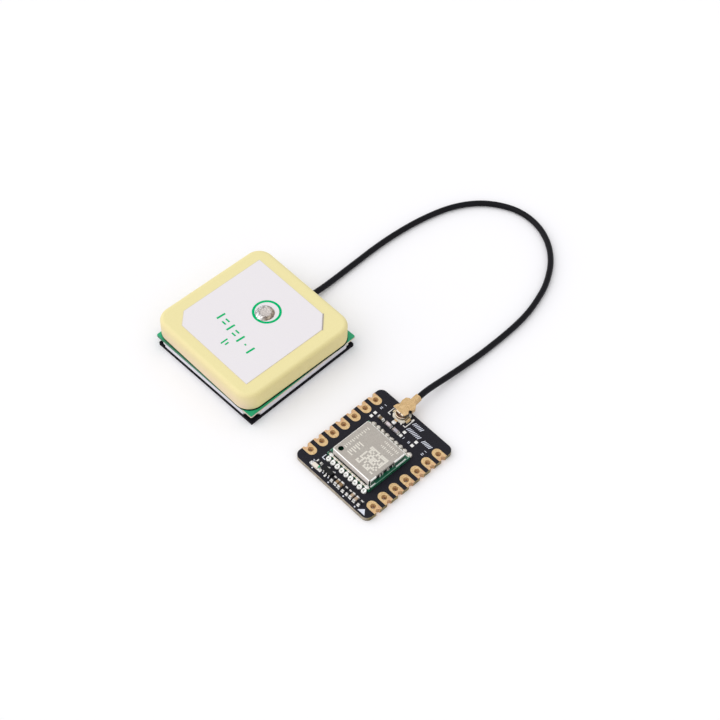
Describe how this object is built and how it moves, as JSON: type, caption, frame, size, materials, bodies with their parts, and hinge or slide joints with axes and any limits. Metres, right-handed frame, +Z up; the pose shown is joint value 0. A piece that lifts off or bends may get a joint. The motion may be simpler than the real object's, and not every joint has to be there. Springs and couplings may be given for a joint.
{
  "type": "gps module",
  "caption": "Black satellite positioning board with gold castellated edge pads and a shielded receiver, joined by a thin coaxial cable to a square ceramic patch antenna.",
  "frame": {"origin": "middle of the carrier board's underside, on the resting surface", "axes": "+Z up; +Y towards the board's end with the coaxial socket; +X away from the antenna, which lies on the -X side"},
  "size_m": [0.0529, 0.0716, 0.0072],
  "materials": {
    "board_mask": "black solder mask over glass laminate, satin",
    "pad_gold": "gold-plated copper, satin",
    "module_mask": "green solder mask over laminate, with tinned joints",
    "shield_metal": "nickel-silver sheet, satin",
    "package": "moulded black epoxy",
    "can_lid": "plated metal lid on a ceramic base",
    "resistor": "black glaze with tinned ends",
    "capacitor": "tan ceramic with tinned ends",
    "ferrite": "grey ceramic with tinned ends",
    "led": "clear and cream moulded resin",
    "socket_plastic": "cream moulded resin",
    "contact_gold": "gold-plated phosphor bronze",
    "socket_shell": "plated brass",
    "plug_plastic": "off-white moulded resin",
    "cable_jacket": "black extruded jacket, satin",
    "tinned_braid": "tinned copper braid",
    "ceramic": "pale yellow fired ceramic, matt",
    "silver_print": "fired silver print, matt",
    "solder": "bright solder",
    "antenna_mask": "green solder mask over laminate",
    "foam": "black foam tape"
  },
  "bodies": {
    "root": {"carrier_board": "board_mask", "edge_pad_01": "pad_gold", "edge_pad_02": "pad_gold", "edge_pad_03": "pad_gold", "edge_pad_04": "pad_gold", "edge_pad_05": "pad_gold", "edge_pad_06": "pad_gold", "edge_pad_07": "pad_gold", "edge_pad_08": "pad_gold", "edge_pad_09": "pad_gold", "edge_pad_10": "pad_gold", "edge_pad_11": "pad_gold", "edge_pad_12": "pad_gold", "edge_pad_13": "pad_gold", "edge_pad_14": "pad_gold", "module_board": "module_mask", "module_shield": "shield_metal", "receiver_chip": "package", "reference_oscillator": "can_lid", "input_filter": "can_lid", "clock_crystal": "can_lid", "module_capacitor": "ferrite", "module_inductor": "ferrite", "socket_base": "socket_plastic", "socket_shell": "socket_shell", "socket_pin": "contact_gold", "plug_shell": "contact_gold", "plug_insulator": "plug_plastic", "plug_contact": "contact_gold", "antenna_cable": "cable_jacket", "cable_braid": "tinned_braid", "cable_conductor": "contact_gold", "indicator_led": "led", "led_resistor": "resistor", "voltage_regulator": "package", "pullup_resistor": "resistor", "input_capacitor": "capacitor", "output_capacitor": "capacitor", "serial_resistor_1": "resistor", "serial_resistor_2": "resistor", "bypass_capacitor_1": "capacitor", "bypass_capacitor_2": "capacitor", "reset_resistor": "resistor", "bias_capacitor": "capacitor", "matching_capacitor": "capacitor", "bias_inductor": "ferrite", "ceramic_block": "ceramic", "patch_electrode": "silver_print", "ground_electrode": "silver_print", "feed_pin": "solder", "antenna_board": "antenna_mask", "antenna_shield": "shield_metal", "amplifier_chip": "package", "antenna_filter": "can_lid", "amplifier_capacitor": "capacitor", "foam_pad": "foam"}
  },
  "joints": []
}
